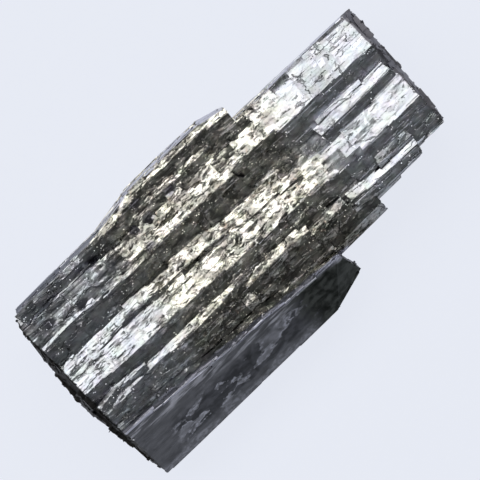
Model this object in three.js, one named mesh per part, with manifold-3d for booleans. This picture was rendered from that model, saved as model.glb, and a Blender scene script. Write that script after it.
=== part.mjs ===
// A broken prismatic crystal of molybdenite, lying on one of its long faces. It is one solid.
// X runs along the crystal, Y across it and Z up. All sizes are in millimetres.
// The crystal is a bundle of long flat-faced laths grown side by side, so the solid is built as one:
// a core and two thick slabs, ridges of laths along the upper face, and thin laths on every side.

import * as THREE from "three";
import { ConvexGeometry } from "three/addons/geometries/ConvexGeometry.js";
import { mergeVertices } from "three/addons/utils/BufferGeometryUtils.js";
import Module from "manifold-3d";

// Where the top edges of the two end faces lie.
const leftEnd = -20.9;
const rightEnd = 23.7;

// Both end faces lean outwards on the way down. These are the places [y, z] on each where it stands
// out farthest, and how far past the top edge it is there. The last two on the left are the front slab's.
const leftBulge = [[9.0, 6.6, 0.2], [6.9, 6.6, 0.6], [1.0, 6.2, 1.25], [-2.8, 5.4, 1.5], [-6.0, 5.2, 1.0]];
const slabBulge = [[-8.4, 5.6, 0.5], [-10.4, 5.2, 0.4]];
const rightBulge = [[8.25, 7.4, 1.3], [5.0, 6.8, 1.2], [1.2, 6.6, 1.05], [-4.0, 6.2, 0.8], [-5.9, 5.8, 0.6]];
// How much lower and nearer to the middle the foot of each end face is than its farthest places, and
// how wide it is as a share of them.
const bulgeDrop = 4.2;
const bulgeReturn = 0.5;
const bulgeFootWidth = 0.85;

// The crystal rests on flat strips, parted by narrow furrows: each has its edges in Y and its ends in X.
const restStrips = [
  { edges: [-9.1, -6.9], span: [-18.8, 5.6] },
  { edges: [-6.7, -4.0], span: [-20.4, 21.6] },
  { edges: [-3.8, 0.9], span: [-20.8, 23.2] },
  { edges: [1.2, 3.0], span: [-19.9, 23.5] },
  { edges: [3.2, 5.1], span: [-19.2, 20.4] },
];
const stripBevel = 0.15;
const stripThickness = 1;
const furrowFloor = 0.3;

// The section of the core, which runs the whole length, as [y, z] places.
const coreOutline = [
  [-6.1, 9.0], [8.1, 10.4], [8.1, 5.2], [5.0, furrowFloor], [-6.6, furrowFloor], [-6.45, 5.2],
];

// The slab along the back edge swells in the middle and breaks off on the right. These are the places
// [x, y] of its back edge, one list for the long part and one for the swelling.
const slabBack = [[-20.25, 9.85], [-12.0, 9.95], [-3.6, 9.95]];
const slabSwell = [[-9.2, 9.95], [-4.2, 10.85], [0.5, 11.0], [5.9, 10.9], [6.4, 10.45], [8.7, 10.1]];
// Its section: first the outside, as [how far in from the back edge, z], then its root, as [y, z].
const slabOutside = [[1, 11.75], [0.65, 11.7], [0.2, 10.75], [0, 6.9]];
const slabRoot = [[8.1, 1.9], [4.4, furrowFloor], [5.1, 10.65]];

// The slab along the front edge, whose smooth outer face slopes down to its farthest edge. Its right
// end is broken off slantwise. These are its sections as [y, z] places.
const frontSections = [
  { x: leftEnd, outline: [[-5.6, 9.8], [-6.9, 9.3], [-12.8, 5.1], [-12.5, 3.8], [-8.3, furrowFloor],
    [-5.6, furrowFloor]] },
  { x: 3.3, outline: [[-12.8, 5.1], [-12.5, 3.8], [-8.3, furrowFloor], [-5.6, furrowFloor]] },
  { x: 6.1, outline: [[-11.95, 5.1], [-11.65, 3.8], [-8.3, furrowFloor]] },
  { x: 6.9, outline: [[-8.6, 8.1], [-9.6, 7.0], [-7.6, 1.2]] },
  { x: 7.7, outline: [[-11.4, 5.1], [-10.9, 3.9]] },
];

// The ledges left along the front edge where that slab broke away: their ends in X, how far out they
// reach and the height of their tops. Their section is given as [how far in, how far above the top].
const ledges = [
  { ends: [-2.0, 7.2], front: -8.6, top: 8.1 },
  { ends: [4.0, 13.8], front: -8.95, top: 6.6 },
  { ends: [10.0, 20.3], front: -7.35, top: 7.6 },
  { ends: [6.6, 17.2], front: -7.7, top: 4.4 },
  { ends: [15.4, 20.1], front: -6.9, top: 5.9 },
];
const ledgeOutside = [[0.9, 0.5], [0, -0.6], [0.3, -3.2]];
const ledgeRoot = -4.5;
const ledgeRootLift = 1.6;
const ledgeFoot = 2;

// A ridge is a row of laths. crest lists the places of its sharp edge along the upper face as [x, y], or
// [x, y, rise] where the edge lies above or below height, the ridge's own height over the rest face.
// From the edge the bright side falls gently towards +Y over the width bright, and the dark side falls
// towards -Y over the width dark. tilt and drop are the slopes of the two sides in degrees.
const ridges = [
  { name: "left_rim", height: 12.1, bright: 0.5, tilt: -4, dark: 2.3, drop: 27,
    crest: [[-20.25, 8.75], [-15.2, 8.7], [-9.2, 8.75]] },
  { name: "rim", height: 12.15, bright: 0.5, tilt: 9, dark: 2.3, drop: 27,
    crest: [[-9.6, 8.75], [-4.2, 9.7], [0.6, 9.8], [6.2, 9.7], [8.5, 9.1]] },
  { name: "brow", height: 11.6, bright: 0.4, tilt: -2, dark: 0.9, drop: 34,
    crest: [[leftEnd, 7.8], [-13.0, 7.7], [-9.0, 7.9], [-5.8, 8.3], [-1.0, 8.1], [5.0, 7.9]] },
  { name: "left_shoulder", height: 11.95, bright: 3.0, tilt: -4, dark: 2.5, drop: 28,
    crest: [[leftEnd, 4.8], [-16.0, 5.0], [-12.8, 4.6], [-8.8, 4.3]] },
  { name: "left_thread", height: 12.15, bright: 0.3, tilt: 16, dark: 0.2, drop: 40,
    crest: [[leftEnd, 4.75], [-16.0, 4.95], [-12.8, 4.55], [-9.0, 4.3]] },
  { name: "turning_shoulder", height: 11.95, bright: 3.0, tilt: 7, dark: 2.5, drop: 28,
    crest: [[-9.0, 4.3], [-6.6, 4.45]] },
  { name: "shoulder", height: 11.95, bright: 3.1, tilt: 15, dark: 2.5, drop: 28,
    crest: [[-6.8, 4.45], [-1.4, 4.6], [2.2, 4.45], [4.7, 4.3]] },
  { name: "grey_facet", height: 11.75, bright: 2.2, tilt: 2, dark: 0.4, drop: 40,
    crest: [[4.4, 4.45], [6.4, 4.6]] },
  { name: "break_shoulder", height: 11.75, bright: 2.9, tilt: 13, dark: 2.4, drop: 30,
    crest: [[6.2, 4.7], [9.4, 4.95], [11.6, 4.3]] },
  { name: "break_wedge", height: 11.5, bright: 0.7, tilt: -20, dark: 0.5, drop: 30,
    crest: [[6.0, 7.4], [9.6, 7.2]] },
  { name: "right_shoulder", height: 11.75, bright: 3.5, tilt: 13, dark: 2.4, drop: 30,
    crest: [[11.6, 4.3], [15.8, 4.3], [20.0, 4.1], [rightEnd, 4.05]] },
  { name: "upper", height: 11.3, bright: 1.5, tilt: 17, dark: 0.9, drop: 32,
    crest: [[leftEnd, 0.8, -0.1], [-17.6, 0.95, -0.1], [-13.2, 1.4], [-9.4, 1.15], [-5.8, 1.1],
      [-1.8, 1.0, -0.1], [0.8, 0.3, -0.1], [4.2, -0.05, -0.1], [7.5, 0.15, -0.1]] },
  { name: "blade", height: 11.25, bright: 0.85, tilt: 13, dark: 0.25, drop: 45,
    crest: [[-17.8, 0.7], [-16.5, 0.25], [-14.0, 0.45], [-12.3, 0.0], [-9.8, 0.1], [-6.0, 0.05]] },
  { name: "upper_step", height: 11.1, bright: 0.9, tilt: 16, dark: 1.0, drop: 30,
    crest: [[7.2, -0.2], [9.8, -0.5], [12.3, -0.95]] },
  { name: "upper_blade", height: 11.5, bright: 1.0, tilt: 14, dark: 2.0, drop: 28,
    crest: [[14.3, 1.0], [18.0, 1.0], [23.2, 1.1]] },
  { name: "thin_blade", height: 11.3, bright: 0.5, tilt: 14, dark: 0.8, drop: 28,
    crest: [[14.8, 2.1], [20.2, 2.05]] },
  { name: "middle", height: 11.6, bright: 2.3, tilt: 15, dark: 1.9, drop: 30,
    crest: [[leftEnd, -1.2], [-18.0, -1.35], [-14.8, -1.55], [-9.2, -1.75], [-4.0, -1.9], [0.4, -2.15],
      [5.8, -2.4], [8.4, -2.35], [12.4, -2.8]] },
  { name: "middle_facet", height: 11.45, bright: 1.7, tilt: 2, dark: 1.0, drop: 34,
    crest: [[12.1, -2.85], [13.9, -2.9]] },
  { name: "right_middle", height: 11.55, bright: 2.8, tilt: 13, dark: 2.2, drop: 30,
    crest: [[13.5, -2.95], [18.0, -2.9], [rightEnd, -2.9]] },
  { name: "thread", height: 11.15, bright: 0.4, tilt: 16, dark: 0.7, drop: 30,
    crest: [[leftEnd, -3.35], [-18.4, -2.9], [-14.9, -3.45]] },
  { name: "left_step", height: 10.8, bright: 0.6, tilt: -3, dark: 1.4, drop: 27,
    crest: [[leftEnd, -4.15], [-16.3, -4.2]] },
  { name: "lower", height: 10.95, bright: 0.9, tilt: 17, dark: 2.4, drop: 29,
    crest: [[-16.6, -3.95], [-11.8, -4.0], [-8.6, -4.25], [-4.3, -4.2]] },
  { name: "knob", height: 11.1, bright: 0.9, tilt: 18, dark: 2.0, drop: 32,
    crest: [[-4.2, -4.15], [-1.6, -3.55]] },
  { name: "lens", height: 10.8, bright: 1.4, tilt: 12, dark: 2.0, drop: 30,
    crest: [[-1.7, -4.9], [2.2, -4.85], [6.2, -4.95]] },
  { name: "chip", height: 10.5, bright: 0.9, tilt: 14, dark: 0.7, drop: 40,
    crest: [[-2.95, -6.15], [-2.1, -6.15]] },
  { name: "lens_step", height: 10.5, bright: 0.7, tilt: 9, dark: 1.6, drop: 30,
    crest: [[6.8, -5.6], [10.8, -5.45]] },
  { name: "right_lower", height: 10.5, bright: 0.8, tilt: 15, dark: 0.9, drop: 34,
    crest: [[12.0, -5.75], [15.0, -6.1], [20.1, -6.2]] },
  { name: "lower_facet", height: 10.75, bright: 1.6, tilt: 1, dark: 0.4, drop: 40,
    crest: [[16.4, -5.1], [20.2, -5.15]] },
  { name: "corner_plate", height: 10.35, bright: 1.4, tilt: 0, dark: 1.2, drop: 22,
    crest: [[20.4, -4.85], [rightEnd, -4.8]] },
  { name: "lip", height: 9.6, bright: 1.1, tilt: -9, dark: 0.2, drop: 60,
    crest: [[leftEnd, -6.75], [-16.0, -7.25, -0.1], [-12.0, -7.4, -0.2], [-9.8, -7.75, -0.4],
      [-4.0, -8.1, -0.6], [0.0, -8.45, -0.8], [3.4, -8.8, -1.0]] },
];

// The broken ends of sheaves of laths, standing out of the end faces between the places y and z, and
// how far past the bulge of the face each reaches at its foot and at its top.
const endPlates = [
  { side: -1, y: [-5.3, -2.9], z: [2.6, 7.3], past: [0.1, -0.3] },
  { side: -1, y: [-3.3, -0.6], z: [4.4, 8.9], past: [0.2, -0.6] },
  { side: -1, y: [-0.9, 2.3], z: [1.8, 7.0], past: [-0.1, 0.1] },
  { side: -1, y: [1.9, 4.4], z: [4.9, 10.2], past: [0.15, -0.8] },
  { side: -1, y: [3.7, 6.8], z: [2.2, 6.1], past: [-0.1, 0.15] },
  { side: -1, y: [6.2, 8.5], z: [5.6, 10.0], past: [0.1, -0.3] },
  { side: -1, y: [-8.2, -5.7], z: [2.0, 6.6], past: [-0.1, 0.12] },
  { side: -1, y: [-10.6, -7.9], z: [3.2, 6.3], past: [-0.1, 0.1] },
  { side: 1, y: [4.9, 7.6], z: [2.9, 8.4], past: [-0.1, 0.05] },
  { side: 1, y: [2.6, 5.4], z: [5.3, 10.2], past: [0.1, -0.8] },
  { side: 1, y: [0.4, 3.1], z: [1.7, 7.3], past: [-0.2, 0.1] },
  { side: 1, y: [-2.3, 0.8], z: [4.6, 9.6], past: [0.1, -0.6] },
  { side: 1, y: [-4.7, -2.0], z: [2.5, 7.6], past: [-0.1, 0.1] },
  { side: 1, y: [-6.2, -4.3], z: [5.2, 9.0], past: [0.1, -0.4] },
];
const plateRoot = 2;
const plateSkew = 0.5;

// Laths overlap end to end by this much, a lath reaches this far down into the core, and each of its
// sides leans in by this much on the way.
const lathOverlap = 0.3;
const lathDepth = 2.6;
const lathTaper = 0.2;
// Between its crest places a ridge is parted into laths of about this length, and the places where
// they meet stray this far sideways.
const lathLength = 2.4;
const crestWander = 0.13;
// How much one lath differs from the next in height, in slope (degrees), in width (as a share) and in
// the slant of its ends, and how far on average the end laths stand out past the crystal's ends.
const heightVariation = 0.09;
const slopeVariation = 5;
const widthVariation = 0.12;
const ridgeEndSlant = 0.2;
const furrowEndSlant = 0.55;
const endReach = 0.2;

// Rows of thin laths, which give each side its furrows. A row lies between two ends in X and spreads
// round the section between two places [y, z]. It faces outwards at an angle from straight up, in
// degrees, positive towards +Y. slope is how steeply both sides of a lath fall from its edge, and rise
// is how far the laths stand out on average and how much one differs from the next.
const furrowRows = [
  { name: "back", ends: [-20.2, -4.6], from: [9.6, 10.4], to: [9.85, 7.1], facing: 86, slope: 20,
    rise: [0.05, 0.15], count: 6, pieces: 2 },
  { name: "swell", ends: [-4.2, 6.2], from: [10.65, 10.4], to: [10.9, 7.1], facing: 86, slope: 20,
    rise: [0.05, 0.15], count: 6, pieces: 2 },
  { name: "below_back", ends: [-20.3, 8.4], from: [9.75, 6.4], to: [8.3, 2.4], facing: 110, slope: 20,
    rise: [0.1, 0.3], count: 8, pieces: 4 },
  { name: "right_back", ends: [8.8, 23.5], from: [8.1, 9.8], to: [8.05, 5.4], facing: 92, slope: 20,
    rise: [0.1, 0.3], count: 8, pieces: 2 },
  { name: "right_below", ends: [8.8, 23.5], from: [7.9, 4.9], to: [5.6, 1.2], facing: 120, slope: 20,
    rise: [0.1, 0.3], count: 7, pieces: 2 },
  { name: "under_back", ends: [-20.2, 8.0], from: [7.7, 1.9], to: [5.4, 0.9], facing: 155, slope: 20,
    rise: [0.1, 0.3], count: 4, pieces: 4 },
  { name: "right_front", ends: [7.6, 23.3], from: [-5.95, 8.2], to: [-6.3, 1.6], facing: -92, slope: 20,
    rise: [0.1, 0.3], count: 10, pieces: 3 },
  { name: "under_front", ends: [-20.6, 5.6], from: [-12.2, 3.5], to: [-9.2, 1.2], facing: -143, slope: 20,
    rise: [0.1, 0.3], count: 6, pieces: 4 },
  { name: "dark_band", ends: [-20.4, 8.2], from: [8.9, 11.6], to: [7.6, 10.95], facing: -26, slope: 8,
    rise: [-0.05, 0.12], count: 3, pieces: 6 },
  { name: "valley", ends: [-20.2, 22.8], from: [3.9, 11.4], to: [2.7, 10.75], facing: -26, slope: 8,
    rise: [-0.05, 0.12], count: 3, pieces: 8 },
  { name: "front_band", ends: [-20.2, 12.5], from: [-4.4, 10.5], to: [-6.6, 9.55], facing: -28, slope: 8,
    rise: [-0.05, 0.12], count: 4, pieces: 6 },
];
const furrowWidth = 0.55;
const furrowDepth = 1.1;
const furrowSlopeVariation = 0.5;
// How long a thin lath is, how much that varies, and how far its start strays, as shares of its place.
const pieceLength = 0.75;
const pieceVariation = 0.3;
const pieceStray = 0.35;

// A number from -1 to 1 that is always the same for the same pair, so that no two laths are alike. Each
// thing that varies adds its own round number to place, so that they vary apart.
function vary(row, place) {
  const wave = Math.sin(row * 12.9898 + place * 78.233) * 43758.5453;
  return 2 * (wave - Math.floor(wave)) - 1;
}

const slopeOf = (degrees) => Math.tan(THREE.MathUtils.degToRad(degrees));

const wasm = await Module();
wasm.setup();

// The solid whose corners are the given [x, y, z] points.
function hull(corners) {
  const shape = new ConvexGeometry(corners.map((corner) => new THREE.Vector3(...corner)));
  shape.deleteAttribute("normal");
  shape.deleteAttribute("uv");
  const closed = mergeVertices(shape, 1e-4);
  return new wasm.Manifold(
    new wasm.Mesh({
      numProp: 3,
      vertProperties: new Float32Array(closed.attributes.position.array),
      triVerts: new Uint32Array(closed.index.array),
    }),
  );
}

// A block is the hull of sections across the crystal, each an outline of [y, z] places at one x.
const blockCorners = (sections) =>
  sections.flatMap(({ x, outline }) => outline.map(([y, z]) => [x, y, z]));

// One outline of [y, z] places, pulled along X between two ends.
const barCorners = ([start, end], outline) => blockCorners([{ x: start, outline }, { x: end, outline }]);

// The core, with both end faces bulging out below their top edges.
function coreCorners() {
  const bulge = (end, outwards, places) =>
    places.flatMap(([y, z, reach]) => [
      [end + outwards * reach, y, z],
      [end + outwards * (reach - bulgeReturn), bulgeFootWidth * y, z - bulgeDrop],
    ]);
  return [
    ...barCorners([leftEnd, rightEnd], coreOutline),
    ...bulge(leftEnd, -1, leftBulge), ...bulge(rightEnd, 1, rightBulge),
  ];
}

// A slab along the back edge, whose places [x, y] are given.
const backSlabCorners = (edge) =>
  blockCorners(
    edge.map(([x, back]) => ({
      x,
      outline: [...slabOutside.map(([inwards, z]) => [back - inwards, z]), ...slabRoot],
    })),
  );

// One of the flat strips that the crystal rests on.
const stripCorners = ({ edges: [front, back], span }) =>
  barCorners(span, [
    [front, stripThickness], [front + stripBevel, 0], [back - stripBevel, 0], [back, stripThickness],
  ]);

// How far an end face stands out past its top edge at the place y across.
function bulgeAt(places, y) {
  const rows = [...places].sort((a, b) => a[0] - b[0]);
  const next = rows.findIndex(([across]) => across > y);
  if (next < 1) {
    return rows.at(next).at(2);
  }
  const [[y0, , reach0], [y1, , reach1]] = rows.slice(next - 1, next + 1);
  return THREE.MathUtils.mapLinear(y, y0, y1, reach0, reach1);
}

// A plate that stands out of one end face: the broken end of a sheaf of laths. No edge of it is square.
function endPlateCorners({ side, y: [front, back], z: [low, high], past: [atFoot, atTop] }, row) {
  const [end, bulge] = side < 0 ? [leftEnd, [...leftBulge, ...slabBulge]] : [rightEnd, rightBulge];
  return [front, back].flatMap((across, i) => {
    const foot = [across + plateSkew * vary(row, i), low + plateSkew * vary(row, i + 2)];
    const top = [across + plateSkew * vary(row, i + 4), high + plateSkew * vary(row, i + 6)];
    const out = bulgeAt(bulge, across);
    return [
      [end - side * plateRoot, ...foot], [end - side * plateRoot, ...top],
      [end + side * (out + atFoot), ...foot], [end + side * (out + atTop), ...top],
    ];
  });
}

// The front slab. Its left end bulges out with the core's.
const frontSlabCorners = () => [
  ...blockCorners(frontSections),
  ...[...leftBulge.slice(-1), ...slabBulge].map(([y, z, reach]) => [leftEnd - reach, y, z]),
];

const ledgeCorners = ({ ends, front, top }) =>
  barCorners(ends, [
    [ledgeRoot, top + ledgeRootLift],
    ...ledgeOutside.map(([inwards, above]) => [front + inwards, top + above]),
    [ledgeRoot, ledgeFoot],
  ]);

// A convex lath along the crystal. Its section hangs from the sharp edge that runs from one [x, y, z]
// place to another, and facing turns the section about that edge.
function lathCorners({ from, to, bright, tilt, dark, drop, depth, slants, facing = 0 }) {
  const section = [
    [0, 0],
    [bright, -bright * slopeOf(tilt)],
    [bright - lathTaper, -depth],
    [-dark + lathTaper, -depth],
    [-dark, -dark * slopeOf(drop)],
  ];
  const turn = THREE.MathUtils.degToRad(facing);
  const turned = section.map(([y, z]) => [
    y * Math.cos(turn) + z * Math.sin(turn),
    -y * Math.sin(turn) + z * Math.cos(turn),
  ]);
  return [from, to].flatMap(([x, y, z], end) =>
    turned.map(([dy, dz], corner) => [x + slants[end] * section[corner][0], y + dy, z + dz]),
  );
}

// The crest's places as [x, y, rise], with some more between them that stray sideways.
function wandering(crest, row) {
  return crest.flatMap(([x1, y1, rise1 = 0], i) => {
    const [x0, y0, rise0 = 0] = crest[Math.max(i - 1, 0)];
    const count = Math.max(Math.round((x1 - x0) / lathLength), 1);
    return Array.from({ length: count }, (_, j) => {
      const share = (j + 1) / count;
      const stray = share < 1 ? crestWander * vary(row, 10 * i + j + 180) : 0;
      return [
        THREE.MathUtils.lerp(x0, x1, share),
        THREE.MathUtils.lerp(y0, y1, share) + stray,
        THREE.MathUtils.lerp(rise0, rise1, share),
      ];
    });
  });
}

// One ridge's laths, each from one place of its crest to the next. Those at the crystal's ends stand
// out a little past them, some more than others.
function ridgeLaths({ height, bright, tilt, dark, drop, crest }, row) {
  const places = wandering(crest, row);
  return places.slice(1).map(([x1, y1, rise1], i) => {
    const [x0, y0, rise0] = places[i];
    const atLeft = x0 === leftEnd;
    const atRight = x1 === rightEnd;
    return lathCorners({
      from: [
        x0 - (atLeft ? endReach * (1 + vary(row, i + 140)) : lathOverlap), y0,
        height + rise0 + heightVariation * vary(row, i),
      ],
      to: [
        x1 + (atRight ? endReach * (1 + vary(row, i + 160)) : lathOverlap), y1,
        height + rise1 + heightVariation * vary(row, i + 1),
      ],
      bright: bright * (1 + widthVariation * vary(row, i + 40)),
      tilt: tilt + slopeVariation * vary(row, i + 60),
      dark,
      drop: drop + slopeVariation * vary(row, i + 80),
      depth: lathDepth,
      slants: [
        atLeft ? 0 : ridgeEndSlant * vary(row, i + 100),
        atRight ? 0 : ridgeEndSlant * vary(row, i + 120),
      ],
    });
  });
}

// One thin lath, set out along the side it lies on, so that some stand out and some lie deep.
function furrowLath({ start, end, y, z, facing, slope, rise: [level, spread], row, seed }) {
  const turn = THREE.MathUtils.degToRad(facing);
  const out = level + spread * vary(row, seed + 400);
  const place = [y + out * Math.sin(turn), z + out * Math.cos(turn)];
  return lathCorners({
    from: [start, ...place],
    to: [end, ...place],
    bright: furrowWidth,
    tilt: slope * (1 + furrowSlopeVariation * vary(row, seed + 600)),
    dark: furrowWidth,
    drop: slope * (1 + furrowSlopeVariation * vary(row, seed + 800)),
    depth: furrowDepth,
    slants: [furrowEndSlant * vary(row, seed + 1000), furrowEndSlant * vary(row, seed + 1200)],
    facing,
  });
}

// The thin laths of one row: count of them one beside another, each broken into pieces of uneven length.
function furrowLaths({ ends: [first, last], from, to, facing, slope, rise, count, pieces }, row) {
  const laths = [];
  const length = (last - first) / pieces;
  for (let line = 0; line < count; line++) {
    const share = (line + 0.5) / count;
    for (let piece = 0; piece < pieces; piece++) {
      const seed = line * pieces + piece;
      const start = Math.max(first, first + length * (piece + pieceStray * vary(row, seed)));
      laths.push(
        furrowLath({
          start,
          end: Math.min(last, start + length * (pieceLength + pieceVariation * vary(row, seed + 200))),
          y: THREE.MathUtils.lerp(from[0], to[0], share),
          z: THREE.MathUtils.lerp(from[1], to[1], share),
          facing,
          slope,
          rise,
          row,
          seed,
        }),
      );
    }
  }
  return laths;
}

const blocks = [
  coreCorners(),
  backSlabCorners(slabBack),
  backSlabCorners(slabSwell),
  frontSlabCorners(),
  ...ledges.map(ledgeCorners),
  ...restStrips.map(stripCorners),
  ...endPlates.map((plate, i) => endPlateCorners(plate, i + 31)),
];

const laths = [
  ...ridges.flatMap((ridge, i) => ridgeLaths(ridge, i + 1)),
  ...furrowRows.flatMap((row, i) => furrowLaths(row, i + 51)),
];

const solid = [...blocks, ...laths].map(hull).reduce((whole, piece) => whole.add(piece));

// The triangles of the outer skin alone. Laths that cross can shut in a small gap between them, and a
// crystal grown as one piece is solid there.
function outerSkin({ vertProperties, triVerts }) {
  const leader = Array.from({ length: vertProperties.length / 3 }, (_, corner) => corner);
  const leaderOf = (corner) => {
    while (leader[corner] !== corner) {
      leader[corner] = leader[leader[corner]];
      corner = leader[corner];
    }
    return corner;
  };
  for (let i = 0; i < triVerts.length; i += 3) {
    leader[leaderOf(triVerts[i + 1])] = leaderOf(triVerts[i]);
    leader[leaderOf(triVerts[i + 2])] = leaderOf(triVerts[i]);
  }
  let rightmost = 0;
  for (let corner = 1; corner < leader.length; corner++) {
    if (vertProperties[3 * corner] > vertProperties[3 * rightmost]) {
      rightmost = corner;
    }
  }
  return triVerts.filter((corner) => leaderOf(corner) === leaderOf(rightmost));
}

// The solid as a three.js geometry, with its origin under the middle of its box.
function crystalGeometry() {
  const mesh = solid.getMesh();
  const geometry = new THREE.BufferGeometry();
  geometry.setAttribute("position", new THREE.BufferAttribute(mesh.vertProperties, 3));
  geometry.setIndex(new THREE.BufferAttribute(outerSkin(mesh), 1));
  geometry.computeBoundingBox();
  const middle = geometry.boundingBox.getCenter(new THREE.Vector3());
  return geometry.translate(-middle.x, -middle.y, -geometry.boundingBox.min.z);
}

const leadGrey = new THREE.MeshStandardMaterial({ color: 0x8d9096, roughness: 0.35, metalness: 1 });

const crystal = new THREE.Mesh(crystalGeometry(), leadGrey);
crystal.name = "crystal";

const specimen = new THREE.Group();
specimen.add(crystal);

export default specimen;
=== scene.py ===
import math
from types import SimpleNamespace

import bpy
import numpy as np
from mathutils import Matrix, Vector
from mathutils.bvhtree import BVHTree


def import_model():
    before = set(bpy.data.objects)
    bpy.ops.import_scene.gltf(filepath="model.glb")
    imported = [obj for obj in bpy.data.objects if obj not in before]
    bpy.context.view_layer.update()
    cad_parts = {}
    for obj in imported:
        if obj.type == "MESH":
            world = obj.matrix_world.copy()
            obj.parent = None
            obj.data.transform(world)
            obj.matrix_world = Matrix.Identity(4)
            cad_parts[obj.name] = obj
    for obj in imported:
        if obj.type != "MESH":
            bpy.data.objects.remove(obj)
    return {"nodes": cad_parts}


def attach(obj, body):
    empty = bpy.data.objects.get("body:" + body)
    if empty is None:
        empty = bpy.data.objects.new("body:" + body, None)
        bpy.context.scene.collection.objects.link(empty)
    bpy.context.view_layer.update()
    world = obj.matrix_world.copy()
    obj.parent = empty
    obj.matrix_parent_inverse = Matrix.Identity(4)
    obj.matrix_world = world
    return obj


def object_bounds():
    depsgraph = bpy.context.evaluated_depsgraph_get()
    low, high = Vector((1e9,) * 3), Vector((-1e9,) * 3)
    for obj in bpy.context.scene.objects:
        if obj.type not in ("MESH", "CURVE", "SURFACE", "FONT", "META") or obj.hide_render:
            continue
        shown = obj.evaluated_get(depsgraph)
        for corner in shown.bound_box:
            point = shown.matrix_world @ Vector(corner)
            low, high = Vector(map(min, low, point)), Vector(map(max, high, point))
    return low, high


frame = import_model()
cad_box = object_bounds()

# Shapes, lamps and the camera are in metres. The frame lies with x along the crystal, y across it
# towards its back edge, and z up.
MM = 0.001

# The camera looks straight down, turned so that the crystal's length makes ALONG_AXIS with the picture's
# level line. The picture's middle is VIEW_CENTRE, and it shows VIEW_WIDTH at the height of the crests.
ALONG_AXIS = math.radians(44)
VIEW_CENTRE = Vector((-0.391, 0.05, 0)) * MM
VIEW_WIDTH = 48 * MM
CREST_HEIGHT = 11.5 * MM
LENS = 250
SENSOR = 36

# Fine laths: how many, the share of a lath's width that its top keeps, the share of its length that it
# keeps on an end face, how deep its foot goes into the solid, how far its ends are cut aslant, how far it
# strays from the crystal's length, the smallest that is kept, and how finely the surface under it is
# felt. A normal above UPWARD counts as the upper side, and ELSEWHERE is how likely other places are to
# get one of the upper laths, where those on the upper side are 1.
FULL_LATHS = 3500
LATH_TAPER = 0.86
END_LATH_SHARE = 0.4
LATH_ROOT = 0.12 * MM
LATH_SLANT = 0.12 * MM
LATH_STRAY = 0.02
SHORTEST_LATH = 0.3 * MM
NARROWEST_LATH = 0.1 * MM
STEP_ALONG = 0.25 * MM
STEP_ACROSS = 0.06 * MM
UPWARD = 0.55
ELSEWHERE = 0.02

# The crystal's box in millimetres: its ends, its front and back edges and its top.
LEFT, FRONT, _ = cad_box[0] / MM
RIGHT, BACK, TOP = cad_box[1] / MM

# Zones, as places in millimetres. Their borders wander along the crystal by ZONE_DRIFT in all.
ZONE_DRIFT = 6.0
# The warm zone midway, and how soft its ends are.
WARM_START = LEFT + 12.28
WARM_END = RIGHT - 12.78
WARM_BORDER = 2.5
# The calm right-hand third starts here.
CALM_START = RIGHT - 15.28
# The left is a little darker as far as DULL_END. There, from the back edge to HOLLOWS_FOOT, the surface
# is calmer and has hollows like the inside of a shell, darkened with painted shade, as far along as
# HOLLOWS_END.
DULL_END = LEFT + 14.28
HOLLOWS_FOOT = BACK - 6.62
HOLLOWS_END = 0.0
# The darker band along the front: partly tarnish, partly painted shade over flanks that face away from the
# lamps.
TARNISH_AND_SHADE_START = LEFT + 12.78
TARNISH_AND_SHADE_END = RIGHT - 14.78
TARNISH_AND_SHADE_TOP = FRONT + 8.43
# The upper border of the smooth front face runs slightly aslant: its place across the crystal midway
# and its slope. The face ends at the broken corner, which is dark from CORNER_START.
SMOOTH_TOP = FRONT + 4.23
SMOOTH_SLOPE = -0.085
SMOOTH_END = RIGHT - 16.48
CORNER_START = -0.75
# The band of etched patches on the smooth face.
ETCHED_TOP = SMOOTH_TOP - 0.8
ETCHED_BOTTOM = SMOOTH_TOP - 3.3
ETCHED_LEFT = LEFT + 5.28
# The ledges at the front right lie below this height and in front of this place.
LEDGE_TOP = TOP - 4.62
LEDGE_BACK = FRONT + 6.52
# The steep side of the rim along the back edge reaches down to this height. It is dark on the left and
# pale past RIM_TURN.
BEVEL_FOOT = TOP - 3.92
RIM_TURN = LEFT + 14.78
# The broken end faces lie beyond these places.
LEFT_FACE = LEFT + 1.53
RIGHT_FACE = RIGHT - 1.23
# Cracks run across the crystal at these places, from the back edge to CROSS_FOOT.
CROSS_CRACKS = (RIGHT - 8.88, RIGHT - 5.18)
CROSS_FOOT = BACK - 7.02

# How many flakes, grains of the warm crust, hollows and glints lie side by side in a millimetre, and
# the share of the last two that shows.
FLAKES = 0.8
GRAINS = 1.7
HOLLOWS = 0.7
HOLLOW_SHARE = 0.16
GLINTS = 4.5
GLINT_SHARE = 0.33
# How far each leans the surface along the crystal, across it and up.
FLAKE_LEAN = (0.21, 0.21, 0.0)
GRAIN_LEAN = (0.3, 0.38, 0.0)
HOLLOW_LEAN = (0.0, -0.35, 0.0)
GLINT_LEAN = (0.0, 0.75, 0.2)
# How high or deep each kind of relief is.
SWELL_HEIGHT = 0.5 * MM
LUMP_HEIGHT = 0.13 * MM
GRAIN_HEIGHT = 0.13 * MM
STREAK_HEIGHT = 0.045 * MM
CRACK_DEPTH = 0.04 * MM

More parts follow.
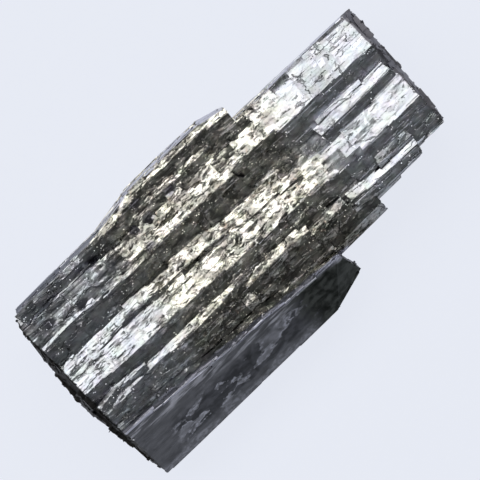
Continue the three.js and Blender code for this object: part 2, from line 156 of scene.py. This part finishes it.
# Colours. In a pair, the first is the darker one.
LATH_COOL = (0.53, 0.545, 0.57, 1)
LATH_WARM = (0.55, 0.53, 0.465, 1)
# The solid under the laths is a little darker than the laths: painted shade that makes the gaps between them
# read as dark cracks.
FURROW_COOL = (0.47, 0.48, 0.50, 1)
FURROW_WARM = (0.45, 0.435, 0.38, 1)
RUST = (0.34, 0.25, 0.20, 1)
# The dark lilac that the hollows are painted with: a painted shade.
HOLLOW_LILAC = (0.20, 0.19, 0.23, 1)
PALE_LILAC = (0.78, 0.79, 0.88, 1)
# A painted reflection: the pale streaky sheen below the lip.
PAINTED_SHEEN_LILAC = (0.92, 0.92, 1.0, 1)
LIP_LILAC = (0.42, 0.42, 0.48, 1)
# The lip is painted this darker lilac where it leans back towards the lamps: painted shade that dims its
# highlight.
LIP_PAINTED_SHADE_LILAC = (0.15, 0.15, 0.175, 1)
RIM_LILACS = ((0.17, 0.175, 0.20, 1), (0.60, 0.60, 0.66, 1))
SMOOTH_GREYS = ((0.27, 0.275, 0.30, 1), (0.33, 0.335, 0.365, 1))
PATCH_GREYS = ((0.15, 0.155, 0.17, 1), (0.22, 0.225, 0.25, 1))
CORNER_OLIVES = ((0.05, 0.055, 0.05, 1), (0.14, 0.15, 0.14, 1))
END_GREYS = ((0.03, 0.029, 0.028, 1), (0.2, 0.195, 0.215, 1))
FLOOR_GREYS = ((0.06, 0.062, 0.065, 1), (0.07, 0.072, 0.075, 1))
FLOOR_GLOW = (0.79, 0.82, 0.90, 1)
FLOOR_GLOW_STRENGTH = 0.955
SKY = (0.9, 0.95, 1.0, 1)
SKY_STRENGTH = 0.09
# How far red, green and blue each wander from place to place.
TINT_SPREAD = (0.22, 0.2, 0.28)
# How much darker each zone is. A share below nought makes it brighter.
DARKENING = {
    "tarnish": 0.4,
    "left": 0.06,
    "dull": 0.1,
    "ledge": 0.4,
    # The calm zone's faces that face the front, away from the lamps, are painted lighter, a painted fill
    # light, and its other faces a little darker, a painted shade.
    "calm_top": 0.07,
    "calm_front": -0.2,
}

# Lamps: a name, degrees from straight above towards the back, the distance and size in metres, and watts.
LAMPS = (
    ("softbox", 33, 0.6, (0.9, 0.4), 2.9),
    ("overhead", 0, 0.8, (1.0, 0.34), 0.3),
    ("front_fill", -52, 0.8, (1.0, 0.5), 0.07),
)

rng = np.random.default_rng(7)


# Geometry

def mesh_object(name, vertices, faces, material):
    mesh = bpy.data.meshes.new(name)
    mesh.from_pydata(vertices, [], faces)
    mesh.update()
    mesh.materials.append(material)
    piece = bpy.data.objects.new(name, mesh)
    bpy.context.scene.collection.objects.link(piece)
    return piece


class Surface:
    """The solid's surface: places on it picked at random, and how far a straight lath can lie on it."""

    def __init__(self, node):
        mesh = node.data
        mesh.calc_loop_triangles()
        corners = np.empty(len(mesh.vertices) * 3)
        mesh.vertices.foreach_get("co", corners)
        corners = corners.reshape(-1, 3)
        triangles = np.empty(len(mesh.loop_triangles) * 3, dtype=np.int32)
        mesh.loop_triangles.foreach_get("vertices", triangles)
        triangles = triangles.reshape(-1, 3)
        self.triangles = corners[triangles]
        self.tree = BVHTree.FromPolygons([Vector(c) for c in corners], triangles.tolist())
        across = np.cross(
            self.triangles[:, 1] - self.triangles[:, 0], self.triangles[:, 2] - self.triangles[:, 0]
        )
        self.areas = np.linalg.norm(across, axis=1) / 2
        self.normals = across / (2 * self.areas[:, None] + 1e-20)

    def pick(self, count, weight):
        """Random places, likelier where a triangle's weight is larger, and the normals there."""
        share = self.areas * weight(self.normals, self.triangles.mean(axis=1))
        picked = rng.choice(len(share), size=count, p=share / share.sum())
        a, b = rng.random((2, count, 1))
        flip = a + b > 1
        a, b = np.where(flip, 1 - a, a), np.where(flip, 1 - b, b)
        corner = self.triangles[picked]
        places = corner[:, 0] + a * (corner[:, 1] - corner[:, 0]) + b * (corner[:, 2] - corner[:, 0])
        return places, self.normals[picked]

    def reach(self, place, normal, direction, limit, step, rise=0.3 * MM, slack=0.05 * MM):
        """How far the surface stays flat from a place in a direction."""
        done = 0.0
        while done < limit:
            ahead = place + direction * (done + step)
            hit = self.tree.ray_cast(ahead + normal * rise, -normal, 2 * rise)
            if hit[0] is None or abs(hit[3] - rise) > slack:
                break
            done += step
        return min(done, limit)


def lath_corners(place, normal, along, across, ends, sides, rise, tilt, pitch, slant):
    """The eight corners of a thin lath: four of its foot inside the solid, then four of its top."""
    corners = []
    for height, share in ((-LATH_ROOT, 1.0), (rise, LATH_TAPER)):
        for end in (0, 1):
            for side in (0, 1):
                lift = height
                if height > 0:
                    lift += (2 * side - 1) * tilt + (2 * end - 1) * pitch
                at = ends[end] + slant[end] * (2 * side - 1)
                corners.append(place + along * at + across * (sides[side] * share) + normal * lift)
    return corners


LATH_FACES = (
    (4, 5, 7, 6), (0, 4, 6, 2), (1, 3, 7, 5), (0, 1, 5, 4), (2, 6, 7, 3), (0, 2, 3, 1),
)


def lath_direction(normal):
    """A lath's direction, along the crystal or straight up on an end face, and whether it is on an end."""
    along = Vector((1, rng.normal(0, LATH_STRAY), 0))
    along -= normal * along.dot(normal)
    # Little of that direction is left within an end face.
    on_end = along.length < 0.5
    if on_end:
        along = Vector((0, 0, 1)) - normal * normal.z
    return along.normalized(), on_end


def fine_laths(surface, name, count, weight, width, length, rise, tilt, material):
    """Thin laths scattered over the solid, each lying along the crystal on a flat part of it."""
    places, normals = surface.pick(count, weight)
    widths = rng.uniform(*width, count)
    # The power makes short laths commoner than long ones.
    lengths = rng.uniform(0.2, 1.0, count) ** 1.6 * length
    rises = rng.uniform(*rise, count)
    tilts = rng.normal(0, tilt, count)
    pitches = rng.normal(0, 0.5 * tilt, count)
    vertices, faces, tones = [], [], []
    for i in range(count):
        normal = Vector(normals[i])
        place = Vector(places[i])
        along, on_end = lath_direction(normal)
        if on_end:
            lengths[i] *= END_LATH_SHARE
        across = normal.cross(along)
        forward = surface.reach(place, normal, along, lengths[i] / 2, STEP_ALONG)
        back = surface.reach(place, normal, -along, lengths[i] / 2, STEP_ALONG)
        left = surface.reach(place, normal, across, widths[i] / 2, STEP_ACROSS)
        right = surface.reach(place, normal, -across, widths[i] / 2, STEP_ACROSS)
        if forward + back < SHORTEST_LATH or left + right < NARROWEST_LATH:
            continue
        corners = lath_corners(
            place, normal, along, across,
            ends=(-back, forward),
            sides=(-right, left),
            rise=rises[i],
            tilt=tilts[i] * widths[i] / 2,
            pitch=pitches[i] * widths[i] / 2,
            slant=rng.normal(0, LATH_SLANT, 2),
        )
        if min(corner.z for corner in corners) < 0:
            continue
        start = len(vertices)
        vertices += corners
        faces += [tuple(start + corner for corner in face) for face in LATH_FACES]
        tones += [rng.random()] * 8
    piece = mesh_object(name, vertices, faces, material)
    tone = piece.data.attributes.new("tone", "FLOAT", "POINT")
    tone.data.foreach_set("value", tones)
    return piece


# Shader building blocks

def new_material(name):
    material = bpy.data.materials.new(name)
    material.use_nodes = True
    tree = material.node_tree
    tree.nodes.clear()
    return material, tree


def plug(tree, socket, value):
    """Gives a socket a plain value or another node's output."""
    if isinstance(value, bpy.types.NodeSocket):
        tree.links.new(value, socket)
    else:
        socket.default_value = value


def add(tree, kind, settings=None, **inputs):
    """Adds a node. An input's name has an underscore for each space."""
    made = tree.nodes.new(kind)
    for key, value in (settings or {}).items():
        setattr(made, key, value)
    for key, value in inputs.items():
        plug(tree, made.inputs[key.replace("_", " ")], value)
    return made


def mix_colour(tree, factor, first, second):
    made = add(tree, "ShaderNodeMix", {"data_type": "RGBA"})
    # The node's colour sockets come after those for numbers and vectors.
    plug(tree, made.inputs[0], factor)
    plug(tree, made.inputs[6], first)
    plug(tree, made.inputs[7], second)
    return made.outputs[2]


def layered(tree, colour, layers):
    """A colour under layers, each with a mask and a colour of its own."""
    for mask, layer in layers:
        colour = mix_colour(tree, mask, colour, layer)
    return colour


def maths(tree, operation, first, second=0.0, third=0.0):
    made = add(tree, "ShaderNodeMath", {"operation": operation})
    for socket, value in zip(made.inputs, (first, second, third)):
        plug(tree, socket, value)
    return made.outputs[0]


def vector_maths(tree, operation, *vectors):
    made = add(tree, "ShaderNodeVectorMath", {"operation": operation})
    for socket, vector in zip(made.inputs, vectors):
        plug(tree, socket, vector)
    return made.outputs[0]


def scaled(tree, vector, scale):
    return add(tree, "ShaderNodeVectorMath", {"operation": "SCALE"}, Vector=vector, Scale=scale).outputs[0]


def times(tree, *factors):
    product = factors[0]
    for factor in factors[1:]:
        product = maths(tree, "MULTIPLY", product, factor)
    return product


def less(tree, mask, share):
    """One outside a mask, falling by a share inside it."""
    return maths(tree, "MULTIPLY_ADD", mask, -share, 1.0)


def either(tree, *masks):
    largest = masks[0]
    for mask in masks[1:]:
        largest = maths(tree, "MAXIMUM", largest, mask)
    return largest


def ramp(tree, value, low, high, to_low=0.0, to_high=1.0):
    """A smooth step from one result at a low value to another at a high value."""
    return add(
        tree, "ShaderNodeMapRange", {"interpolation_type": "SMOOTHSTEP"}, Value=value, From_Min=low,
        From_Max=high, To_Min=to_low, To_Max=to_high,
    ).outputs["Result"]


def falling(tree, value, low, high):
    return ramp(tree, value, low, high, 1.0, 0.0)


def past(tree, value, place, soft):
    """One past a place and nought before it, with a border this soft to either side."""
    return ramp(tree, value, place - soft, place + soft)


def before(tree, value, place, soft):
    return falling(tree, value, place - soft, place + soft)


def within(tree, value, start, end, soft):
    return times(tree, past(tree, value, start, soft), before(tree, value, end, soft))


def wandering(tree, value, texture, spread):
    """A value that a texture about 0.5 pushes up and down by up to half the spread."""
    return maths(tree, "ADD", value, maths(tree, "MULTIPLY_ADD", texture, spread, -spread / 2))


def stretched(tree, place, along):
    """The same place, with the crystal's length drawn out so that a texture runs along it."""
    return add(tree, "ShaderNodeMapping", Vector=place, Scale=(along, 1.0, 1.0)).outputs[0]


def random_push(tree, place, scale, detail=2.0):
    """A vector that wanders about nought from place to place."""
    push = add(tree, "ShaderNodeTexNoise", Vector=place, Scale=scale, Detail=detail).outputs["Color"]
    return vector_maths(tree, "SUBTRACT", push, (0.5, 0.5, 0.5))


def warped(tree, place, scale, amount):
    """The same place, pushed about a little so that a pattern loses its straight edges."""
    return vector_maths(tree, "ADD", place, scaled(tree, random_push(tree, place, scale), amount))


def noise(tree, place, scale, along=1.0, detail=3.0, roughness=0.6, distortion=0.0):
    """Clouds about 0.5. Scale is roughly how many there are to a millimetre, and a small along draws them
    out along the crystal."""
    return add(
        tree, "ShaderNodeTexNoise", Vector=stretched(tree, place, along), Scale=scale, Detail=detail,
        Roughness=roughness, Distortion=distortion,
    ).outputs["Fac"]


def cells(tree, place, scale, feature="F1", output="Distance"):
    return add(tree, "ShaderNodeTexVoronoi", {"feature": feature}, Vector=place, Scale=scale).outputs[output]


def chosen(tree, place, scale, share):
    """One in a random share of the cells, nought in the others."""
    colour = add(tree, "ShaderNodeSeparateXYZ", Vector=cells(tree, place, scale, output="Color")).outputs
    return ramp(tree, colour["X"], 1 - share, 1.02 - share)


def bump(tree, height, distance, normal):
    return add(tree, "ShaderNodeBump", Height=height, Distance=distance, Normal=normal).outputs["Normal"]


def tipped(tree, lean, amount, normal):
    """Tips the normal by a lean times an amount."""
    return vector_maths(tree, "NORMALIZE", vector_maths(tree, "ADD", normal, scaled(tree, lean, amount)))


def flakes(tree, place, scale, lean, amount, normal):
    """Tips the normal by a fixed random amount in each small cell, as a crust of tiny flat flakes does."""
    spread = vector_maths(tree, "SUBTRACT", cells(tree, place, scale, output="Color"), (0.5, 0.5, 0.5))
    return tipped(tree, vector_maths(tree, "MULTIPLY", spread, lean), amount, normal)


# The crystal's material

def add_textures(tree, here):
    """The textures that several parts of the material use."""
    here.bent = warped(tree, here.place, 1.3, 0.5)
    here.mottle = noise(tree, here.place, 1.5, along=0.5, distortion=0.4)
    here.swells = noise(tree, here.place, 0.8, along=0.65, roughness=0.5, distortion=0.6)
    here.streaks = noise(tree, here.place, 1.8, along=0.14, detail=2.0, roughness=0.5)
    blotches = noise(tree, here.place, 0.8, along=0.8, roughness=0.5, distortion=0.5)
    here.blotches = ramp(tree, blotches, 0.42, 0.58)
    energy = noise(tree, here.place, 0.5, along=0.6, detail=1.0)
    here.energy = ramp(tree, energy, 0.35, 0.65, 0.4, 1.1)


def add_zones(tree, here, facing):
    """Zones told by their place and by the way the surface faces: one inside, nought outside."""
    along = wandering(tree, here.x, noise(tree, here.place, 0.35), ZONE_DRIFT)
    here.warmth = within(tree, along, WARM_START, WARM_END, WARM_BORDER)
    here.left = before(tree, along, DULL_END, 1.0)
    here.dull = times(tree, here.left, ramp(tree, here.y, HOLLOWS_FOOT, HOLLOWS_FOOT + 0.8))
    here.tarnish = times(
        tree,
        within(tree, along, TARNISH_AND_SHADE_START, TARNISH_AND_SHADE_END, 1.5),
        before(tree, wandering(tree, here.y, here.mottle, 0.5), TARNISH_AND_SHADE_TOP, 0.4),
    )
    # The low ledges left where the front slab broke away, and the sides that face the front.
    here.ledge = times(
        tree,
        before(tree, here.z, LEDGE_TOP, 0.5),
        before(tree, here.y, LEDGE_BACK, 0.2),
        ramp(tree, here.x, SMOOTH_END - 2.0, SMOOTH_END),
    )
    front = falling(tree, facing["Y"], -0.35, -0.15)
    # In the calm zone the faces towards the front get painted light and the others painted shade.
    here.calm = times(tree, past(tree, here.x, CALM_START, 1.5), less(tree, here.ledge, 0.7))
    here.calm_front = times(tree, here.calm, front)
    here.calm_top = times(tree, here.calm, less(tree, front, 1.0))
    # The steep outer side of the rim, and the broken ends, told by the way they face or by their place.
    here.bevel = times(tree, ramp(tree, facing["Y"], 0.45, 0.6), past(tree, here.z, BEVEL_FOOT, 0.6))
    ragged = wandering(tree, here.x, here.mottle, 0.4)
    here.ends = either(
        tree,
        ramp(tree, maths(tree, "ABSOLUTE", facing["X"]), 0.5, 0.7),
        before(tree, ragged, LEFT_FACE, 0.1),
        past(tree, ragged, RIGHT_FACE, 0.1),
    )


def add_smooth_face(tree, here, facing):
    """The smooth face in front of its aslant border, the pale lip along the border and the dark broken
    corner. Where the lip leans back towards the lamps it is painted darker, a painted shade that dims its
    highlight, and the corner is chipped where it turns to the right."""
    border = maths(tree, "MULTIPLY_ADD", here.x, SMOOTH_SLOPE, SMOOTH_TOP)
    here.above = maths(tree, "SUBTRACT", wandering(tree, here.y, here.mottle, 0.5), border)
    before_break = falling(tree, here.x, SMOOTH_END - 0.3, SMOOTH_END)
    here.smooth = times(
        tree, falling(tree, here.above, -0.1, 0.05), ramp(tree, facing["Z"], 0.5, 0.6), before_break,
    )
    here.lip = times(
        tree, ramp(tree, here.above, -0.75, -0.3), falling(tree, here.above, 0.25, 0.5), before_break,
    )
    here.lit_lip = ramp(tree, facing["Y"], 0.05, 0.14)
    here.corner = times(
        tree,
        past(tree, wandering(tree, here.x, here.mottle, 4.0), CORNER_START, 1.25),
        before_break,
        falling(tree, here.above, -0.35, -0.1),
    )
    here.chipped = times(tree, here.corner, ramp(tree, facing["X"], 0.1, 0.2))


def cross_cracks(tree, here):
    """Chains of small pits that run straight across the right-hand third; their darkness is painted shade."""
    along = wandering(tree, here.x, here.mottle, 1.2)
    chains = [
        falling(tree, maths(tree, "ABSOLUTE", maths(tree, "SUBTRACT", along, place)), 0.04, 0.16)
        for place in CROSS_CRACKS
    ]
    pits = ramp(tree, noise(tree, here.place, 2.4, detail=2.0), 0.46, 0.56)
    return times(tree, either(tree, *chains), pits, ramp(tree, here.y, CROSS_FOOT - 0.3, CROSS_FOOT))


def add_cracks(tree, here):
    """Cracks along the crystal, fainter in the warm zone, and the chains across it."""
    edge = cells(tree, stretched(tree, here.bent, 0.14), 1.1, "DISTANCE_TO_EDGE")
    long_cracks = times(
        tree,
        falling(tree, edge, 0.01, 0.035),
        ramp(tree, here.swells, 0.5, 0.58),
        less(tree, here.warmth, 0.7),
    )
    here.cracked = either(tree, long_cracks, cross_cracks(tree, here))


def add_hollows(tree, here):
    """Round hollows on the back left, darkened with painted shade."""
    place = stretched(tree, here.bent, 0.8)
    here.hollows = times(
        tree,
        chosen(tree, place, HOLLOWS, HOLLOW_SHARE),
        falling(tree, cells(tree, place, HOLLOWS), 0.25, 0.55),
        ramp(tree, here.y, HOLLOWS_FOOT, HOLLOWS_FOOT + 0.5),
        before(tree, here.x, HOLLOWS_END, 1.0),
    )


def add_glints(tree, here):
    """Clusters of tiny flakes that lean back towards the light."""
    here.glints = times(
        tree,
        falling(tree, cells(tree, here.place, GLINTS), 0.22, 0.32),
        chosen(tree, here.place, GLINTS, GLINT_SHARE),
        ramp(tree, noise(tree, here.place, 0.7, detail=2.0), 0.45, 0.57),
    )


def crystal_fields(tree):
    """What the parts of the material share, as sockets that hold the values here, at the shaded place: the
    place in millimetres, textures, zones and marks."""
    where = add(tree, "ShaderNodeTexCoord").outputs["Object"]
    here = SimpleNamespace()
    here.place = add(tree, "ShaderNodeMapping", Vector=where, Scale=(1 / MM, 1 / MM, 1 / MM)).outputs[0]
    axes = add(tree, "ShaderNodeSeparateXYZ", Vector=here.place).outputs
    here.x, here.y, here.z = axes["X"], axes["Y"], axes["Z"]
    facing = add(tree, "ShaderNodeNewGeometry").outputs["True Normal"]
    facing = add(tree, "ShaderNodeSeparateXYZ", Vector=facing).outputs
    add_textures(tree, here)
    add_zones(tree, here, facing)
    add_smooth_face(tree, here, facing)
    add_cracks(tree, here)
    add_hollows(tree, here)
    add_glints(tree, here)
    return here


def smooth_face_colour(tree, here):
    """Bluish grey, with a hazy band of dark etched patches that have pale flecks around them, a streaky
    painted sheen near the lip, which is a painted reflection, and a pale lower rim."""
    etching = noise(tree, warped(tree, here.place, 0.5, 1.0), 0.6, along=0.42, detail=5.0, roughness=0.52)
    flecks = noise(tree, here.place, 3.2, along=0.6)
    scratches = noise(tree, here.place, 3.0, along=0.08)
    streaks = noise(tree, here.place, 2.6, along=0.12)
    band = times(
        tree,
        falling(tree, here.y, ETCHED_TOP - 0.5, ETCHED_TOP + 0.3),
        ramp(tree, here.y, ETCHED_BOTTOM - 0.2, ETCHED_BOTTOM + 0.3),
        past(tree, here.x, ETCHED_LEFT, 1.0),
    )
    haze = times(tree, band, ramp(tree, here.mottle, 0.35, 0.65, 0.12, 0.42))
    etched = times(tree, ramp(tree, etching, 0.47, 0.482), band)
    pale = times(
        tree,
        ramp(tree, etching, 0.37, 0.44),
        falling(tree, etching, 0.47, 0.478),
        ramp(tree, flecks, 0.45, 0.55),
        band,
    )
    painted_sheen = times(
        tree,
        ramp(tree, here.above, -1.7, -0.7),
        falling(tree, here.above, -0.35, -0.15),
        ramp(tree, streaks, 0.48, 0.62),
    )
    rim = times(
        tree,
        falling(tree, wandering(tree, here.y, etching, 2.0), ETCHED_BOTTOM - 0.5, ETCHED_BOTTOM - 0.1),
        ramp(tree, flecks, 0.4, 0.62, 0.15, 0.6),
    )
    patch = mix_colour(tree, ramp(tree, here.mottle, 0.4, 0.7), *PATCH_GREYS)
    colour = mix_colour(tree, ramp(tree, scratches, 0.35, 0.65), *SMOOTH_GREYS)
    layers = (
        (haze, PALE_LILAC), (etched, patch), (pale, PALE_LILAC), (painted_sheen, PAINTED_SHEEN_LILAC), (rim, PALE_LILAC),
    )
    return layered(tree, colour, layers)


def crystal_colour(tree, here, cool, warm):
    """Cool at the ends and warm midway, shaded zone by zone, with the marks and the special faces on top."""
    tint = vector_maths(tree, "MULTIPLY", random_push(tree, here.place, 0.9, 3.0), TINT_SPREAD)
    tint = vector_maths(tree, "ADD", tint, (1.0, 1.0, 1.0))
    base = vector_maths(tree, "MULTIPLY", mix_colour(tree, here.warmth, cool, warm), tint)
    tone = add(tree, "ShaderNodeAttribute", {"attribute_name": "tone"}).outputs["Fac"]
    shade = times(
        tree,
        maths(tree, "MULTIPLY_ADD", ramp(tree, here.blotches, 0.0, 1.0, -0.42, 0.35), here.warmth, 1.0),
        ramp(tree, here.mottle, 0.3, 0.7, 0.65, 1.15),
        ramp(tree, tone, 0.0, 1.0, 0.9, 1.08),
        # Cracks are painted darker, a painted shade in them, less so in the calm zone.
        less(tree, times(tree, here.cracked, less(tree, here.calm, 0.3)), 0.7),
        *(less(tree, getattr(here, zone), share) for zone, share in DARKENING.items()),
    )
    rust = times(tree, ramp(tree, noise(tree, here.place, 1.1, detail=4.0), 0.6, 0.68), here.warmth, 0.45)
    # Painted shade on the lip where it faces the lamps.
    lip = mix_colour(tree, here.lit_lip, LIP_LILAC, LIP_PAINTED_SHADE_LILAC)
    olive = mix_colour(tree, ramp(tree, here.mottle, 0.35, 0.65), *CORNER_OLIVES)
    olive = scaled(tree, olive, less(tree, here.chipped, 0.4))
    layers = (
        (rust, RUST),
        (times(tree, here.hollows, 0.6), HOLLOW_LILAC),
        (here.lip, lip),
        (here.smooth, smooth_face_colour(tree, here)),
        (here.corner, olive),
        (here.bevel, mix_colour(tree, past(tree, here.x, RIM_TURN, 3.0), *RIM_LILACS)),
        (here.ends, mix_colour(tree, past(tree, here.x, 0.0, 1.0), *END_GREYS)),
    )
    return layered(tree, scaled(tree, base, shade), layers)


def crystal_normal(tree, here, crinkle):
    """Crinkled foil: leaning flakes, hollows, swells and long lumps, a granular crust in the warm zone,
    then streaks, cracks and glints. The smooth face, the rim and the lip keep little of it."""
    relief = times(tree, less(tree, here.smooth, 0.9), less(tree, here.bevel, 0.8), less(tree, here.lip, 0.7))
    lively = times(
        tree, relief, less(tree, here.calm, 0.75), less(tree, here.dull, 0.35), here.energy, crinkle,
    )
    granular = times(tree, relief, here.warmth, less(tree, here.blotches, 0.6))
    even = times(tree, relief, less(tree, here.calm, 0.4), less(tree, here.warmth, 0.8))
    lumps = noise(tree, here.bent, 1.6, along=0.3, detail=1.5, roughness=0.5)
    crust = stretched(tree, warped(tree, here.place, 2.0, 0.2), 0.9)
    from_grain = cells(tree, crust, GRAINS)

    normal = add(tree, "ShaderNodeNewGeometry").outputs["Normal"]
    normal = flakes(tree, stretched(tree, here.bent, 0.6), FLAKES, FLAKE_LEAN, lively, normal)
    normal = tipped(tree, HOLLOW_LEAN, times(tree, here.hollows, relief), normal)
    normal = bump(tree, times(tree, here.swells, lively), SWELL_HEIGHT, normal)
    normal = bump(tree, times(tree, lumps, lively, less(tree, here.warmth, 0.5)), LUMP_HEIGHT, normal)
    normal = flakes(tree, crust, GRAINS, GRAIN_LEAN, granular, normal)
    normal = bump(tree, times(tree, from_grain, from_grain, granular), -GRAIN_HEIGHT, normal)
    normal = bump(tree, times(tree, here.streaks, even), STREAK_HEIGHT, normal)
    normal = bump(tree, times(tree, here.cracked, relief), -CRACK_DEPTH, normal)
    return tipped(tree, GLINT_LEAN, times(tree, here.glints, relief), normal)


def crystal_material(name, cool, warm, roughness, crinkle):
    """A grey metallic lustre, a little glossier in the warm zone. The smooth face is satiny, and the
    broken ends are dull."""
    material, tree = new_material(name)
    here = crystal_fields(tree)
    rough = ramp(tree, here.mottle, 0.3, 0.7, *roughness)
    rough = maths(tree, "MULTIPLY_ADD", here.warmth, -0.07, rough)
    rough = maths(tree, "MULTIPLY_ADD", here.smooth, 0.14, rough)
    rough = either(tree, rough, times(tree, here.ends, 0.6))
    shader = add(
        tree, "ShaderNodeBsdfPrincipled", Base_Color=crystal_colour(tree, here, cool, warm), Metallic=1.0,
        Roughness=rough, Normal=crystal_normal(tree, here, crinkle),
    )
    add(tree, "ShaderNodeOutputMaterial", Surface=shader.outputs["BSDF"])
    return material


# The crystal

def upper_side(normals, places):
    """The upper side apart from the smooth face, and a few places elsewhere."""
    border = (SMOOTH_TOP + 0.1) * MM + SMOOTH_SLOPE * places[:, 0]
    smooth = (places[:, 1] < border) & (places[:, 0] < SMOOTH_END * MM)
    return np.where(normals[:, 2] > UPWARD, 1.0, ELSEWHERE) * np.where(smooth, 0.0, 1.0)


def other_sides(normals, places):
    return np.where(normals[:, 2] > UPWARD, 0.0, 1.0)


def make_crystal():
    node = frame["nodes"]["crystal"]
    surface = Surface(node)
    # The solid gets the darker colours, painted shade for the gaps between the laths.
    dark = crystal_material(
        "crystal_furrows", FURROW_COOL, FURROW_WARM, roughness=(0.22, 0.42), crinkle=0.6
    )
    bright = crystal_material("crystal_laths", LATH_COOL, LATH_WARM, roughness=(0.2, 0.4), crinkle=0.7)
    node.data.materials.clear()
    node.data.materials.append(dark)

    count = FULL_LATHS
    laths = fine_laths(
        surface, "upper_laths", count // 2, upper_side, width=(0.3 * MM, 1.1 * MM), length=6.0 * MM,
        rise=(0.01 * MM, 0.04 * MM), tilt=0.05, material=bright,
    )
    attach(laths, "root")
    sides = fine_laths(
        surface, "side_laths", count, other_sides, width=(0.2 * MM, 0.7 * MM), length=8.0 * MM,
        rise=(0.02 * MM, 0.12 * MM), tilt=0.12, material=bright,
    )
    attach(sides, "root")


# Stage, light and camera

def floor_material():
    """Pale paper with a very faint grain. Its glow keeps it even and almost free of shadow."""
    material, tree = new_material("pale_floor")
    where = add(tree, "ShaderNodeTexCoord").outputs["Object"]
    grain = add(tree, "ShaderNodeTexNoise", Vector=where, Scale=900.0, Detail=2.0).outputs["Fac"]
    shader = add(
        tree, "ShaderNodeBsdfPrincipled", Base_Color=mix_colour(tree, grain, *FLOOR_GREYS), Roughness=0.9,
        Specular_IOR_Level=0.1, Emission_Color=FLOOR_GLOW, Emission_Strength=FLOOR_GLOW_STRENGTH,
    )
    add(tree, "ShaderNodeOutputMaterial", Surface=shader.outputs["BSDF"])
    return material


def make_stage():
    half = 3.0
    floor = mesh_object(
        "floor", [(-half, -half, 0), (half, -half, 0), (half, half, 0), (-half, half, 0)], [(0, 1, 2, 3)],
        floor_material(),
    )


def make_world():
    world = bpy.data.worlds.new("surroundings")
    world.use_nodes = True
    background = world.node_tree.nodes["Background"]
    background.inputs["Color"].default_value = SKY
    background.inputs["Strength"].default_value = SKY_STRENGTH
    bpy.context.scene.world = world


def area_light(name, degrees, distance, size, power):
    """A soft rectangular light that faces the crystal from above, leaning towards its back edge."""
    data = bpy.data.lights.new(name, "AREA")
    data.shape = "RECTANGLE"
    data.size, data.size_y = size
    data.energy = power
    lamp = bpy.data.objects.new(name, data)
    angle = math.radians(degrees)
    out = Vector((0, math.sin(angle), math.cos(angle)))
    lamp.location = out * distance
    lamp.rotation_mode = "QUATERNION"
    lamp.rotation_quaternion = (-out).to_track_quat("-Z", "Y")
    bpy.context.scene.collection.objects.link(lamp)


def make_lights():
    for lamp in LAMPS:
        area_light(*lamp)


def make_camera():
    data = bpy.data.cameras.new("camera")
    data.lens = LENS
    data.sensor_width = SENSOR
    camera = bpy.data.objects.new("camera", data)
    distance = VIEW_WIDTH * LENS / SENSOR
    camera.location = VIEW_CENTRE + Vector((0, 0, CREST_HEIGHT + distance))
    camera.rotation_euler = (0, 0, -ALONG_AXIS)
    data.clip_start = 0.01
    data.clip_end = 20
    bpy.context.scene.collection.objects.link(camera)
    bpy.context.scene.camera = camera


def main():
    scene = bpy.context.scene
    scene.view_settings.view_transform = "Standard"
    make_crystal()
    make_stage()
    make_world()
    make_lights()
    make_camera()


main()
